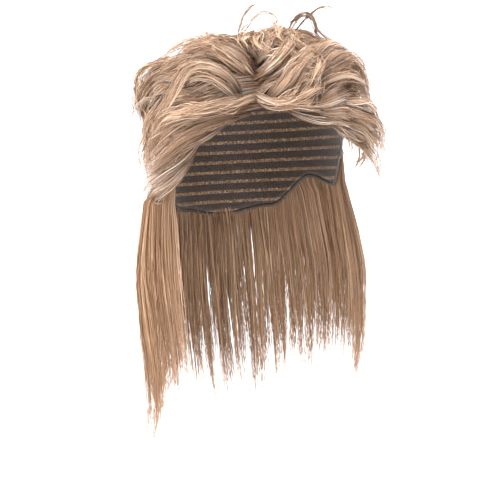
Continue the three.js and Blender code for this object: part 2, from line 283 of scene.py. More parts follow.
trial = tubes(parting[None], np.full((1, 2), MM), np.full((1, 2), MM), FIBRE_SIDES, np.zeros(1))
print("a trial tube of two stations has", len(trial[1]), "quads and", len(trial[2]), "end triangles")

# %% A mesh object from arrays
def mesh_object(name, points, quads, triangles, spots, material, map_name="OFBake"):
    """A mesh object from arrays of points, quads and triangles, with a UV spot for each point."""
    mesh = bpy.data.meshes.new(name)
    loops = np.concatenate([quads.ravel(), triangles.ravel()]).astype(np.int32)
    totals = np.concatenate([np.full(len(quads), 4), np.full(len(triangles), 3)]).astype(np.int32)
    starts = np.concatenate([[0], np.cumsum(totals)[:-1]]).astype(np.int32)
    mesh.vertices.add(len(points))
    mesh.vertices.foreach_set("co", np.asarray(points, np.float32).ravel())
    mesh.loops.add(len(loops))
    mesh.loops.foreach_set("vertex_index", loops)
    mesh.polygons.add(len(totals))
    mesh.polygons.foreach_set("loop_start", starts)
    mesh.polygons.foreach_set("loop_total", totals)
    mesh.polygons.foreach_set("use_smooth", np.ones(len(totals), bool))
    mesh.update(calc_edges=True)
    mesh.validate()
    uv = mesh.uv_layers.new(name=map_name)
    uv.data.foreach_set("uv", np.asarray(spots, np.float32)[loops].ravel())
    piece = bpy.data.objects.new(name, mesh)
    bpy.context.collection.objects.link(piece)
    mesh.materials.append(material)
    print(name, 2 * len(quads) + len(triangles), "triangles")
    return piece


print("meshes before the first piece:", len(bpy.data.meshes))

# %% [markdown]
# ## Materials
# The hair is heat-set synthetic fibre: smooth, so it has a clear sheen, in a mix of sand, honey and cream
# fibres that is darker at the roots, partly in the roots' own tone and partly as painted shade near the cap.
# Each fibre could have a material of its own, but one that reads the fibre's number from the UV map does for
# all. One function adds a node, and one turns a hex colour to light.

# %% Node and colour helpers
def linear(code):
    """A hex colour as linear light: each sRGB part to the power of 2.4 after its offset, or divided by 12.92
    where it is very dark."""
    parts = [int(code[place:place + 2], 16) / 255 for place in (1, 3, 5)]
    return (*(part / 12.92 if part <= 0.04045 else ((part + 0.055) / 1.055) ** 2.4 for part in parts), 1)


def node(tree, kind, settings=None, **sockets):
    """A node of a kind, with its settings. A socket given an output socket is linked to it, and one given a
    value holds it. Sockets are named, with spaces as underscores, or numbered as in_0."""
    added = tree.nodes.new(kind)
    for name, value in (settings or {}).items():
        setattr(added, name, value)
    for name, value in sockets.items():
        number = name[3:] if name.startswith("in_") else None
        socket = added.inputs[int(number)] if number else added.inputs[name.replace("_", " ")]
        if isinstance(value, bpy.types.NodeSocket):
            tree.links.new(value, socket)
        else:
            socket.default_value = value
    return added


def ramp(tree, factor, stops):
    """A colour ramp with a hex colour at each place."""
    added = node(tree, "ShaderNodeValToRGB", Fac=factor)
    elements = added.color_ramp.elements
    for _ in range(len(stops) - 2):
        elements.new(0.5)
    for element, (place, code) in zip(elements, stops):
        element.position, element.color = place, linear(code)
    return added.outputs["Color"]


def new_material(name):
    """A material with nodes, its node tree and its shader."""
    material = bpy.data.materials.new(name)
    material.use_nodes = True
    return material, material.node_tree, material.node_tree.nodes["Principled BSDF"]


print("middle grey as linear light:", np.round(linear("#808080"), 3).tolist())

# %% Hair fibre
# A fibre's number runs from 0 to 1, so these say how often the mix changes over it: from lock to lock, and
# from one fibre to the next. The fast change counts a little less than the slow one.
LOCK_CHANGES, FIBRE_CHANGES, FIBRE_WEIGHT = 60.0, 2600.0, 0.9
MIX_FROM, MIX_TO = 0.6, 1.3
NOISE_FROM, NOISE_TO = 0.3, 0.7
SHINIEST, DULLEST = 0.38, 0.55
FIBRE_SPECULAR = 0.36


def hair_fibre(name, shades, root, root_and_shade_fade):
    """The fibre's number picks its colour from the mix, through one slow noise that keeps neighbours alike
    and one fast one that sets single fibres apart. The root's colour gives way to it as the share of the way
    to the tip, to the power of the last argument. That dark root colour is partly the roots' own tone and
    partly painted shade, near the cap and under the hair that lies over it."""
    material, tree, shader = new_material(name)
    uv = node(tree, "ShaderNodeUVMap", {"uv_map": "OFBake"}).outputs["UV"]
    spot = node(tree, "ShaderNodeSeparateXYZ", Vector=uv)
    which, along = spot.outputs["X"], spot.outputs["Y"]
    one_number = {"noise_dimensions": "1D"}
    locks = node(tree, "ShaderNodeMath", {"operation": "MULTIPLY"}, in_0=which, in_1=LOCK_CHANGES)
    slow = node(tree, "ShaderNodeTexNoise", one_number, W=locks.outputs[0], Scale=1.0, Detail=1.0)
    single = node(tree, "ShaderNodeMath", {"operation": "MULTIPLY"}, in_0=which, in_1=FIBRE_CHANGES)
    fast = node(tree, "ShaderNodeTexNoise", one_number, W=single.outputs[0], Scale=1.0, Detail=0.0)
    both = node(tree, "ShaderNodeMath", {"operation": "MULTIPLY_ADD"},
                in_0=fast.outputs["Fac"], in_1=FIBRE_WEIGHT, in_2=slow.outputs["Fac"])
    spread = node(tree, "ShaderNodeMapRange", Value=both.outputs[0], From_Min=MIX_FROM, From_Max=MIX_TO)
    mix = ramp(tree, spread.outputs["Result"], shades)
    # Partly painted shade: the dark root colour holds over the first part of each fibre, where it lies near
    # the cap under other hair; the rest is the roots' own darker tone.
    share = node(tree, "ShaderNodeMath", {"operation": "POWER"}, in_0=along, in_1=root_and_shade_fade)
    colour = node(tree, "ShaderNodeMix", {"data_type": "RGBA"},
                  in_0=share.outputs[0], in_6=linear(root), in_7=mix)
    tree.links.new(colour.outputs[2], shader.inputs["Base Color"])
    shine = node(tree, "ShaderNodeMapRange", Value=fast.outputs["Fac"],
                 From_Min=NOISE_FROM, From_Max=NOISE_TO, To_Min=SHINIEST, To_Max=DULLEST)
    tree.links.new(shine.outputs["Result"], shader.inputs["Roughness"])
    shader.inputs["Specular IOR Level"].default_value = FIBRE_SPECULAR
    return material


# Modacrylic fibre, extruded and then set in waves by heat. To the eye it is satin: every bend has a soft
# streak of light, and the mix runs from brown roots over sand to cream. The brown at the roots is partly
# painted shade.
WAVED_SHADES = [(0.0, "#684329"), (0.3, "#98714F"), (0.6, "#C7A484"), (0.85, "#EAD5BE"), (1.0, "#F8ECDD")]
waved_fibre = hair_fibre("synthetic_fibre_waved", WAVED_SHADES, "#4A3222", 0.55)

# The same fibre left straight. It lies side by side, so its sheen is long and even, and its mix is browner.
# Its dark root colour reaches far down the fibre as painted shade over the upper part of the hanging hair.
LONG_SHADES = [(0.0, "#75533A"), (0.35, "#9A7657"), (0.7, "#B58F6E"), (1.0, "#D6B898")]
long_fibre = hair_fibre("synthetic_fibre_straight", LONG_SHADES, "#5B412F", 0.4)
print("materials", [material.name for material in bpy.data.materials])

# %% [markdown]
# ## Locks
# A lock is a flat body with fibres over it. The fibres start side by side, drift into a few thinner strands
# and part again near the tips. The lock swings to and fro as it leaves the cap, its strands swing a little
# by themselves, and a few fibres fly away. All of it is offsets from the lock's path, on two axes: across the
# lock, and off the cap. Combing a real groom by hand would show as much, but couldn't be rerun from numbers.

# %% Random numbers and paths
FINE = 48
rng = np.random.default_rng(0)


def restart(seed):
    """Random numbers from a piece's own seed, so that a change of one piece leaves the others as they are."""
    rng.bit_generator.state = np.random.default_rng(seed).bit_generator.state


def smooth_path(points):
    """A smooth curve through a few points: a Catmull-Rom spline, sampled evenly by length."""
    points = np.asarray(points, float)
    p = np.concatenate([2 * points[:1] - points[1:2], points, 2 * points[-1:] - points[-2:-1]])
    t = np.linspace(0, len(points) - 1, FINE * 4)
    k = np.minimum(t.astype(int), len(points) - 2)
    t = (t - k)[:, None]
    a, b, c, d = (p[k + shift] for shift in range(4))
    spline = 0.5 * (2 * b + (c - a) * t + (2 * a - 5 * b + 4 * c - d) * t**2 + (3 * b - a - 3 * c + d) * t**3)
    length = np.concatenate([[0], np.cumsum(np.linalg.norm(np.diff(spline, axis=0), axis=1))])
    even = np.linspace(0, length[-1], FINE)
    return np.stack([np.interp(even, length, spline[:, axis]) for axis in range(3)], -1)


def along_path(table, share):
    """The rows of a table of FINE points at any shares of the way."""
    place = share * (FINE - 1)
    step = np.minimum(place.astype(int), FINE - 2)
    part = (place - step)[..., None]
    return table[step] * (1 - part) + table[step + 1] * part


print("a path from the crown to the face's edge has", len(smooth_path(parting)), "points")

# %% A lock's line and width
LIFT_SWING = 0.6
NARROW_ROOT, NARROW_TIP = 0.35, 0.65


def lock_axes(lock):
    """A lock's path after its swing, and the ways across it and off the cap. The swing is a sine across the
    lock and a smaller cosine off the cap, which grow from the root to the lock's curl in millimetres."""
    path = smooth_path(lock["path"])
    _, across, lift = axes(path)
    fine = np.linspace(0, 1, FINE)
    turn = 2 * np.pi * lock["turns"] * fine + rng.uniform(0, 2 * np.pi)
    grown = lock["curl"] * MM * ease(fine, 0.05, 0.8)
    path = path + across * (grown * np.sin(turn))[:, None]
    path = path + lift * (LIFT_SWING * grown * np.cos(turn))[:, None]
    _, across, lift = axes(path)
    return path, across, lift


def half_width(lock, share):
    """Half a lock's width, which is given in millimetres, at shares of its way: it eases from the narrow root
    to the full width, and from there to the narrow tip."""
    opened = NARROW_ROOT + (1 - NARROW_ROOT) * ease(share, 0, 0.25)
    return opened * (1 - (1 - NARROW_TIP) * ease(share, 0.6, 1)) * lock["width"] * MM / 2


broad = half_width({"width": 10}, np.linspace(0, 1, 5)) / MM
print("a lock 10 mm wide, half its width from root to tip:", np.round(broad, 1).tolist())

# %% Fibres round a lock
# Strands have a width and a swing in millimetres. How far a fibre is drawn to its strand and let go again,
# how many fibres stray, and how much a tip thins are shares.
STATIONS = 12
STRAND_WIDTH, FEWEST_STRANDS = 1.5, 3
DRAWN, PARTED = 0.62, 0.3
STRAND_SWING, SWING_OF_CURL = 1.4, 0.22
STRAY_FIBRES, STRAY_ACROSS, STRAY_OFF, STRAY_SPREAD = 0.2, 4.5 * MM, 1.5 * MM, 3 * MM
THINNEST, THICKEST = 0.18 * MM, 0.32 * MM
TIP_THINNING = 0.75
LOCK_SHADE, STRAND_SHADE, FIBRE_SHADE = 0.35, 0.35, 0.3


def lock_fibres(lock, count, path, across, lift):
    """The tubes of one lock's fibres. A fibre starts at (a, b) in the lock's section, mostly on its upper
    side. The section is as thick as its width times the lock's round. The fibre is drawn towards its strand's
    place and partly let go before the tip, swings with its strand, and may stray with the share of the way to
    the power of 1.4. Its shade is the sum of a number of the lock, one of the strand and one of its own."""
    strands = max(FEWEST_STRANDS, int(lock["width"] / STRAND_WIDTH))
    places = np.linspace(-0.9, 0.9, strands) + rng.normal(0, 0.1, strands)
    angle = rng.uniform(-0.3, 1.3, count) * np.pi
    ring = rng.uniform(0.4, 1.05, count)
    a, b = np.cos(angle) * ring, np.sin(angle) * ring
    nearest = np.abs(a[:, None] - places).argmin(1)
    middle, height = places[nearest], rng.uniform(0.1, 0.9, strands)[nearest]

    root, tip = 0.1 * rng.random((count, 1)), 1 - 0.42 * rng.random((count, 1)) ** 1.3
    share = root + (tip - root) * np.linspace(0, 1, STATIONS)
    drawn = DRAWN * ease(share, 0.1, 0.6) - PARTED * ease(share, 0.75, 1)
    wide = half_width(lock, share)
    one = (a[:, None] + (middle - a)[:, None] * drawn) * wide
    two = (b[:, None] + (height - b)[:, None] * drawn) * wide * lock["round"]
    phase = rng.uniform(0, 2 * np.pi, (2, strands))[:, nearest][..., None] + rng.normal(0, 0.4, (2, count, 1))
    reach = (STRAND_SWING + SWING_OF_CURL * lock["curl"]) * MM
    swing = reach * share * rng.uniform(0.5, 1.4, strands)[nearest][:, None]
    turn = 2 * np.pi * (lock["turns"] + 0.4) * share
    one = one + swing * np.sin(turn + phase[0])
    two = two + 0.7 * swing * np.sin(turn + phase[1])
    astray = (rng.random(count) < STRAY_FIBRES)[:, None] * share**1.4
    one = one + astray * rng.normal(0, STRAY_ACROSS, (count, 1))
    two = two + astray * rng.normal(STRAY_OFF, STRAY_SPREAD, (count, 1))

    at, sideways, off = (along_path(table, share) for table in (path, across, lift))
    fibres = clear_of_cap(at + sideways * one[..., None] + off * two[..., None])
    radii = rng.uniform(THINNEST, THICKEST, count)[:, None] * (1 - TIP_THINNING * ease(share / tip, 0.5, 1))
    shade = LOCK_SHADE * rng.random() + STRAND_SHADE * rng.random(strands)[nearest]
    return tubes(fibres, radii, radii, FIBRE_SIDES, shade + FIBRE_SHADE * rng.random(count))


print("a lock 10 mm wide has", int(10 / STRAND_WIDTH), "strands")

# %% Bodies, and whole pieces of hair
# A body ends at a share of the way. It is sunk, wide and thick by shares of half the lock's width.
BODY_SIDES = 8
BODY_END, BODY_SUNK, BODY_WIDE, BODY_THICK, BODY_SPREAD = 0.86, 0.15, 0.55, 0.1, 0.03
WISP = 6
FEWEST = 14


def lock_body(lock, path, lift):
    """A flat tube under the middle of a lock's fibres, sunk by a share of half the width, that closes to a
    point before the tips. It fills what is seen between the fibres."""
    share = np.linspace(0, BODY_END, STATIONS)
    flat = (half_width(lock, share) * (1 - 0.9 * ease(share, 0.55, BODY_END)))[None]
    sunk = path - lift * lock["width"] * MM / 2 * BODY_SUNK
    line = clear_of_cap(along_path(sunk, share)[None])
    return tubes(line, BODY_WIDE * flat, BODY_THICK * flat, BODY_SIDES, 0.9 * rng.random(1), BODY_SPREAD)


def hair_piece(name, locks, fibres, material):
    """One mesh of some locks, with their fibres shared out by the locks' widths. A wisp has no body."""
    restart(fibres)
    share = np.array([lock["width"] for lock in locks], float)
    counts = np.maximum(FEWEST, (fibres * share / share.sum())).astype(int)
    parts = []
    for lock, count in zip(locks, counts):
        path, across, lift = lock_axes(lock)
        parts.append(lock_fibres(lock, int(count), path, across, lift))
        if lock["width"] >= WISP:
            parts.append(lock_body(lock, path, lift))
    return mesh_object(name, *joined(parts), material)


print("locks under", WISP, "mm wide are wisps, and none has fewer than", FEWEST, "fibres")

# %% [markdown]
# ## Waved hair, drawn from the front
# The locks that face the camera are drawn, as a maker sketches a hairstyle. Each row is one lock from
# root to tip: its width in millimetres, pixels across and down the picture, and how far it stands off the cap
# there in millimetres. Past the hair's outline a lock lies where its line of sight passes nearest to the cap.
# The sides are the wearer's.

# %% Front locks of the right side
RIGHT_LOCKS = [
    {"width": 15, "x": [258, 234, 211, 191, 174, 160, 151, 147],
     "y": [102, 110, 113, 118, 126, 137, 151, 165], "off": [3, 7, 9, 10, 11, 12, 13, 14]},
    {"width": 15, "x": [250, 222, 200, 180, 167, 156, 147], "y": [113, 119, 125, 137, 148, 160, 172],
     "off": [3, 6, 8, 10, 11, 12, 13]},
    {"width": 13, "x": [226, 203, 184, 168, 154, 146, 143], "y": [122, 136, 146, 156, 167, 177, 190],
     "off": [3, 6, 8, 10, 11, 12, 13]},
    {"width": 12, "x": [204, 191, 177, 163, 149, 142, 139, 142],
     "y": [134, 150, 161, 170, 180, 191, 200, 207], "off": [3, 6, 8, 10, 12, 14, 15, 15]},
    {"width": 10, "x": [192, 181, 167, 153, 144], "y": [152, 164, 174, 184, 194], "off": [3, 5, 7, 9, 10]},
    {"width": 13, "x": [196, 186, 174, 162, 151, 143, 140], "y": [150, 165, 177, 186, 194, 202, 211],
     "off": [3, 6, 8, 10, 12, 14, 14]},
    {"width": 12, "x": [190, 180, 168, 156, 147, 142], "y": [158, 172, 182, 189, 197, 207],
     "off": [3, 5, 7, 9, 12, 13]},
    {"width": 11, "x": [186, 178, 168, 158, 150, 147], "y": [166, 177, 187, 195, 203, 212],
     "off": [3, 5, 7, 9, 11, 12]},
    {"width": 15, "x": [255, 240, 222, 203, 184, 168, 157, 150],
     "y": [96, 101, 106, 110, 112, 117, 126, 139], "off": [3, 9, 11, 13, 14, 15, 15, 15]},
    {"width": 12, "x": [243, 236, 224, 209, 196, 186, 180, 173, 165, 155],
     "y": [98, 85, 74, 67, 68, 76, 87, 98, 109, 119], "off": [4, 13, 19, 22, 23, 23, 22, 20, 18, 16]},
    {"width": 10, "x": [240, 230, 216, 201, 190, 184], "y": [103, 91, 80, 75, 80, 92],
     "off": [3, 10, 16, 18, 17, 14]},
    {"width": 13, "x": [206, 192, 180, 167, 156, 149, 146, 149, 154, 151],
     "y": [84, 84, 80, 77, 81, 91, 106, 120, 131, 143], "off": [6, 12, 16, 19, 20, 18, 16, 15, 15, 15]},
    {"width": 16, "x": [186, 172, 158, 148, 143, 144, 151], "y": [82, 80, 84, 92, 103, 115, 127],
     "off": [8, 12, 14, 14, 14, 13, 11]},
    {"width": 16, "x": [190, 176, 162, 150, 142, 139, 143], "y": [70, 66, 68, 75, 85, 98, 111],
     "off": [8, 12, 14, 14, 14, 14, 12]},
    {"width": 15, "x": [178, 164, 154, 148, 148, 154], "y": [92, 93, 99, 110, 122, 134],
     "off": [7, 11, 13, 13, 13, 11]},
    {"width": 14, "x": [196, 181, 167, 151, 141, 137, 139, 146, 156],
     "y": [66, 62, 61, 66, 74, 89, 103, 119, 130], "off": [10, 14, 14, 14, 14, 14, 14, 13, 11]},
    {"width": 14, "x": [190, 172, 157, 146, 141, 142, 150, 160], "y": [72, 69, 74, 84, 97, 112, 127, 138],
     "off": [10, 14, 15, 14, 14, 14, 13, 11]},
    {"width": 13, "x": [244, 228, 211, 191, 177, 163, 157, 150], "y": [68, 60, 54, 47, 49, 56, 64, 74],
     "off": [5, 10, 14, 16, 17, 18, 18, 18]},
    {"width": 13, "x": [254, 238, 218, 199, 184, 171, 160], "y": [58, 47, 41, 34, 36, 45, 56],
     "off": [6, 12, 15, 17, 18, 18, 18]},
    {"width": 12, "x": [236, 220, 203, 187, 172, 160, 150], "y": [66, 61, 60, 62, 67, 72, 82],
     "off": [5, 10, 14, 16, 18, 18, 18]},
    {"width": 10, "x": [226, 205, 188, 173, 160, 152], "y": [52, 43, 42, 48, 59, 68],
     "off": [8, 13, 15, 16, 16, 16]},
    {"width": 12, "x": [222, 202, 186, 172, 160, 152], "y": [96, 98, 97, 101, 112, 128],
     "off": [4, 9, 12, 14, 15, 15]},
    {"width": 12, "x": [262, 250, 236, 222, 210, 203], "y": [72, 64, 54, 45, 37, 32],
     "off": [4, 9, 13, 15, 16, 16]},
    {"width": 10, "x": [254, 242, 230, 219, 211], "y": [79, 69, 59, 50, 44], "off": [4, 9, 12, 14, 14]},
    {"width": 9, "x": [246, 234, 222, 209, 198], "y": [78, 68, 59, 53, 52], "off": [3, 8, 12, 14, 14]},
    {"width": 8, "x": [262, 250, 237, 223, 210], "y": [96, 99, 104, 110, 117], "off": [4, 8, 10, 11, 11]},
]
print(len(RIGHT_LOCKS), "locks drawn on the right")

# %% Front locks of the left side
LEFT_LOCKS = [
    {"width": 12, "x": [279, 286, 293, 299, 306, 316, 321, 319, 314, 308, 303],
     "y": [105, 94, 80, 67, 57, 53, 58, 69, 81, 94, 105], "off": [3, 8, 12, 15, 17, 18, 18, 17, 15, 12, 9]},
    {"width": 11, "x": [266, 276, 287, 294, 302, 310, 313], "y": [102, 92, 80, 68, 62, 66, 78],
     "off": [3, 8, 12, 14, 15, 15, 13]},
    {"width": 12, "x": [249, 258, 267, 278, 286, 289, 284, 277], "y": [82, 77, 70, 60, 48, 37, 27, 21],
     "off": [4, 9, 12, 15, 17, 18, 20, 20]},
    {"width": 12, "x": [244, 256, 269, 285, 298, 308], "y": [52, 43, 33, 25, 21, 24],
     "off": [7, 12, 16, 19, 20, 20]},
    {"width": 5.5, "x": [288, 298, 304, 311, 315, 317, 326, 337, 349, 360, 368, 373],
     "y": [24, 17, 12, 14, 21, 28, 35, 43, 53, 61, 71, 80],
     "off": [20, 22, 23, 23, 22, 21, 20, 20, 19, 18, 17, 16]},
    {"width": 12, "x": [298, 306, 318, 329, 338, 349, 360], "y": [30, 34, 40, 47, 54, 61, 70],
     "off": [14, 16, 18, 18, 18, 17, 16]},
    {"width": 11, "x": [297, 307, 320, 331, 339, 340, 332], "y": [54, 46, 43, 48, 57, 68, 80],
     "off": [8, 14, 17, 18, 17, 15, 12]},
    {"width": 12, "x": [312, 321, 334, 349, 363, 371], "y": [108, 101, 92, 82, 76, 81],
     "off": [3, 9, 13, 14, 13, 12]},
    {"width": 13, "x": [300, 320, 337, 354, 366, 374], "y": [106, 106, 99, 93, 97, 109],
     "off": [3, 9, 13, 14, 13, 12]},
    {"width": 13, "x": [308, 326, 343, 363, 377, 384], "y": [108, 112, 110, 112, 113, 116],
     "off": [3, 8, 12, 13, 13, 12]},
    {"width": 13, "x": [314, 331, 349, 366, 380, 387, 385, 376],
     "y": [111, 118, 120, 122, 126, 134, 145, 152], "off": [3, 7, 11, 13, 13, 13, 12, 11]},
    {"width": 12, "x": [324, 340, 354, 369, 381, 388, 386, 377, 368],
     "y": [118, 126, 130, 134, 138, 147, 158, 165, 164], "off": [3, 6, 10, 12, 13, 13, 13, 12, 10]},
    {"width": 12, "x": [332, 346, 360, 373, 380, 377, 368], "y": [124, 132, 140, 148, 160, 173, 177],
     "off": [3, 6, 9, 11, 12, 12, 10]},
    {"width": 11, "x": [340, 354, 363, 369, 374, 371], "y": [131, 138, 147, 157, 168, 178],
     "off": [3, 6, 8, 9, 9, 9]},
    {"width": 10, "x": [316, 326, 340, 354, 367], "y": [82, 74, 67, 68, 77], "off": [8, 13, 15, 15, 14]},
    {"width": 16, "x": [318, 334, 348, 358, 364, 366], "y": [62, 62, 68, 78, 90, 102],
     "off": [8, 11, 12, 12, 11, 10]},
    {"width": 16, "x": [322, 340, 356, 368, 376, 380], "y": [92, 94, 98, 106, 118, 132],
     "off": [6, 9, 11, 12, 12, 11]},
    {"width": 15, "x": [320, 336, 350, 362, 370, 374], "y": [78, 77, 80, 86, 96, 108],
     "off": [6, 9, 10, 11, 11, 10]},
    {"width": 15, "x": [330, 346, 360, 370, 376, 376], "y": [112, 120, 126, 136, 150, 164],
     "off": [4, 7, 9, 11, 11, 10]},
    {"width": 15, "x": [322, 338, 351, 361, 367, 370], "y": [84, 82, 83, 88, 96, 106],
     "off": [5, 8, 10, 10, 10, 9]},
    {"width": 16, "x": [328, 343, 355, 364, 369, 370], "y": [98, 91, 89, 93, 102, 114],
     "off": [4, 7, 9, 10, 9, 8]},
    {"width": 7, "x": [250, 262, 275, 288, 299, 306], "y": [89, 97, 101, 98, 89, 78],
     "off": [3, 7, 9, 10, 11, 11]},
    {"width": 8, "x": [254, 264, 274, 283, 288, 289], "y": [73, 67, 59, 49, 38, 27],
     "off": [5, 10, 13, 15, 17, 18]},
    {"width": 8, "x": [262, 274, 286, 297, 305, 308], "y": [82, 76, 67, 57, 46, 35],
     "off": [5, 10, 13, 15, 17, 18]},
    {"width": 11, "x": [256, 263, 268, 268, 262, 252], "y": [66, 54, 42, 33, 27, 25],
     "off": [6, 11, 14, 16, 17, 17]},
    {"width": 9, "x": [254, 270, 288, 305, 320], "y": [101, 105, 106, 102, 94], "off": [2, 3, 4, 6, 8]},
    {"width": 8, "x": [262, 278, 296, 314, 330], "y": [99, 101, 98, 91, 85], "off": [3, 6, 9, 11, 12]},
    {"width": 9, "x": [276, 292, 308, 326, 342], "y": [101, 105, 107, 106, 100], "off": [2, 3, 4, 6, 8]},
    {"width": 10, "x": [262, 274, 286, 296, 300], "y": [60, 52, 50, 56, 68], "off": [6, 12, 15, 15, 13]},
    {"width": 4, "x": [262, 270, 276, 274, 268, 258, 248], "y": [46, 38, 29, 21, 16, 14, 20],
     "off": [10, 14, 18, 20, 22, 22, 22]},
    {"width": 5, "x": [240, 244, 250, 258, 267, 276, 284], "y": [38, 29, 21, 14, 11, 14, 23],
     "off": [12, 16, 19, 21, 23, 23, 22]},
    {"width": 5, "x": [288, 292, 297, 303, 309, 315, 319], "y": [34, 25, 17, 12, 12, 19, 29],
     "off": [14, 18, 21, 23, 23, 22, 20]},
]
print(len(LEFT_LOCKS), "locks drawn on the left")

# %% From rows to locks
# Drawn locks stand a few millimetres over the fans. A companion strays by pixels, and for each of them it
# curls more in millimetres and lies lower by a share of its height.
ON_TOP = 3
SLIDE = 30 * MM
COMPANION_STRAY, COMPANION_WIDTH = 8, 0.6
DRAWN_CURL, CURL_OF_STRAY, SUNK_OF_STRAY = 1.2, 0.3, 0.02


def drawn_locks(rows):
    """Two locks for each row: the drawn one, which lies behind the row's pixels, and a thinner companion that
    strays from it by a few pixels more and more towards its tip, curls more and lies a little lower. Both lie
    on top of the fans. Where a lock nears the hair's outline it slides back along the line of sight towards
    its tip, so that from the side it flows backwards with the rest: by the slide times the share of the way,
    times the cube of one minus the cosine between the line of sight and the way off the cap."""
    locks = []
    for row in rows:
        share = np.linspace(0, 1, len(row["x"]))
        for stray, width in ((0, 1), (COMPANION_STRAY, COMPANION_WIDTH)):
            x = np.array(row["x"]) + rng.normal(0, 1) * stray * (0.3 + share)
            y = np.array(row["y"]) + rng.normal(0, 1) * stray * (0.3 + share)
            off = (np.array(row["off"]) + ON_TOP * ease(share, 0, 0.4)) * MM * (1 - SUNK_OF_STRAY * stray)
            path = behind_pixel(x, y, off)
            turned_away = 1 - np.clip(outward(path) @ backward, 0, 1)
            path = path - (SLIDE * share * turned_away**3)[:, None] * backward
            shape = {"curl": DRAWN_CURL + CURL_OF_STRAY * stray, "turns": 1.4, "round": 0.8}
            locks.append({"path": path, "width": row["width"] * width, **shape})
    return locks


companion_curl = DRAWN_CURL + CURL_OF_STRAY * COMPANION_STRAY
print("drawn locks curl by", DRAWN_CURL, "mm and their companions by", round(companion_curl, 1), "mm")

# %% [markdown]
# ## Waved hair all round
# Under the drawn locks, and where the camera doesn't look, locks grow in fans. A fan runs from a first lock
# to a last one. Each is three places, at its root, half way and at its tip, given as degrees round the cap
# and degrees down from the crown, and the heights off the cap there in millimetres. Drawing every lock by
# hand would take days, and a fan with a little chance in it looks no more regular than real hair.

# %% A fan of locks
STREW = [(7, 3.5), (3, 2.5), (3, 2.5)]
FAN_POINTS = 9


def curve(values, share):
    """The parabola that starts, passes at half way and ends at three values."""
    start, middle, end = values
    far = end * share * (2 * share - 1)
    return start * (1 - share) * (1 - 2 * share) + middle * 4 * share * (1 - share) + far


def fan(count, first, last, off, width=14, curl=5.5, turns=1.7):
    """Locks between two, with their places mixed by their share of the way and strewn by a few degrees, more
    so at the root."""
    share = np.linspace(0, 1, FAN_POINTS)
    locks = []
    for number in range(count):
        mix = number / max(count - 1, 1) + rng.normal(0, 0.3 / count)
        places = np.array(first) * (1 - mix) + np.array(last) * mix + rng.normal(0, 0.6, (3, 2)) * STREW
        heights = (np.array(off[0]) * (1 - mix) + np.array(off[1]) * mix) * rng.uniform(0.85, 1.1)
        path = on_cap(curve(places[:, 0], share), curve(places[:, 1], share), curve(heights, share) * MM)
        own_width, own_curl = width * rng.uniform(0.75, 1.25), curl * rng.uniform(0.7, 1.3)
        own_turns = turns * rng.uniform(0.75, 1.25)
        locks.append({"path": path, "width": own_width, "curl": own_curl, "turns": own_turns, "round": 0.5})
    return locks


def fans(rows):
    """The locks of several fans, one after the other."""
    return [lock for row in rows for lock in fan(**row)]


print("a lock 4, 14 and 15 mm high is, a quarter of the way along,", round(curve([4, 14, 15], 0.25), 1), "mm")

# %% Fans of the sides
# The heights of a side's fans, front, top and behind the ear, differ between the sides. The last fan is low
# and wide, and covers the net under them all.
SIDE_FANS = [
    {"zone": "front", "count": 8, "first": [(6, 61), (52, 73), (98, 101)],
     "last": [(8, 40), (58, 50), (104, 74)]},
    {"zone": "top", "count": 8, "first": [(16, 34), (64, 40), (100, 62)],
     "last": [(76, 18), (106, 40), (124, 70)]},
    {"zone": "behind", "count": 9, "first": [(88, 44), (102, 72), (102, 100)],
     "last": [(124, 44), (126, 72), (128, 102)]},
    {"zone": "top", "count": 6, "first": [(84, 22), (106, 36), (120, 58)],
     "last": [(112, 18), (128, 34), (138, 56)]},
    {"zone": "cover", "count": 9, "first": [(46, 22), (74, 52), (88, 84)],
     "last": [(128, 18), (126, 50), (124, 90)], "width": 20, "curl": 3},
]
COVER = [(4, 7, 9), (4, 7, 9)]
RIGHT_HEIGHTS = {"front": [(4, 6, 11), (4, 11, 16)], "top": [(4, 16, 19), (4, 17, 17)],
                 "behind": [(4, 15, 15), (4, 13, 13)], "cover": COVER}
LEFT_HEIGHTS = {"front": [(4, 7, 26), (4, 12, 36)], "top": [(4, 27, 34), (4, 27, 26)],
                "behind": [(4, 27, 25), (4, 20, 21)], "cover": COVER}
LEFT_FANS = [
    {"count": 6, "first": [(28, 38), (60, 46), (86, 60)], "last": [(34, 50), (68, 58), (96, 76)],
     "off": [(4, 31, 34), (4, 30, 34)], "width": 16, "curl": 4},
    {"count": 7, "first": [(-12, 61), (4, 50), (26, 42)], "last": [(26, 63), (36, 54), (56, 50)],
     "off": [(3, 11, 15), (3, 12, 18)], "width": 10},
    {"count": 9, "first": [(26, 44), (58, 42), (82, 50)], "last": [(32, 58), (66, 60), (86, 74)],
     "off": [(4, 33, 38), (4, 32, 38)], "width": 15, "curl": 6},
    {"count": 9, "first": [(34, 63), (62, 72), (78, 78)], "last": [(50, 72), (72, 88), (84, 100)],
     "off": [(4, 29, 34), (4, 28, 34)], "width": 15, "curl": 6},
    {"count": 5, "first": [(50, 66), (78, 80), (90, 96)], "last": [(66, 76), (86, 92), (92, 110)],
     "off": [(4, 26, 32), (4, 26, 31)], "width": 12, "curl": 6.5},
]


def side_fans(sign, heights):
    """The fans of one side, with its own heights. The sign turns the angles round the cap to that side."""
    locks = []
    for row in SIDE_FANS:
        places = {end: [(sign * around, down) for around, down in row[end]] for end in ("first", "last")}
        shape = {key: row[key] for key in ("width", "curl") if key in row}
        locks += fan(row["count"], **places, off=heights[row["zone"]], **shape)
    return locks


restart(11)
right_locks = drawn_locks(RIGHT_LOCKS) + side_fans(-1, RIGHT_HEIGHTS)
restart(12)
left_locks = drawn_locks(LEFT_LOCKS) + side_fans(1, LEFT_HEIGHTS) + fans(LEFT_FANS)
print(len(right_locks), "locks on the right and", len(left_locks), "on the left")

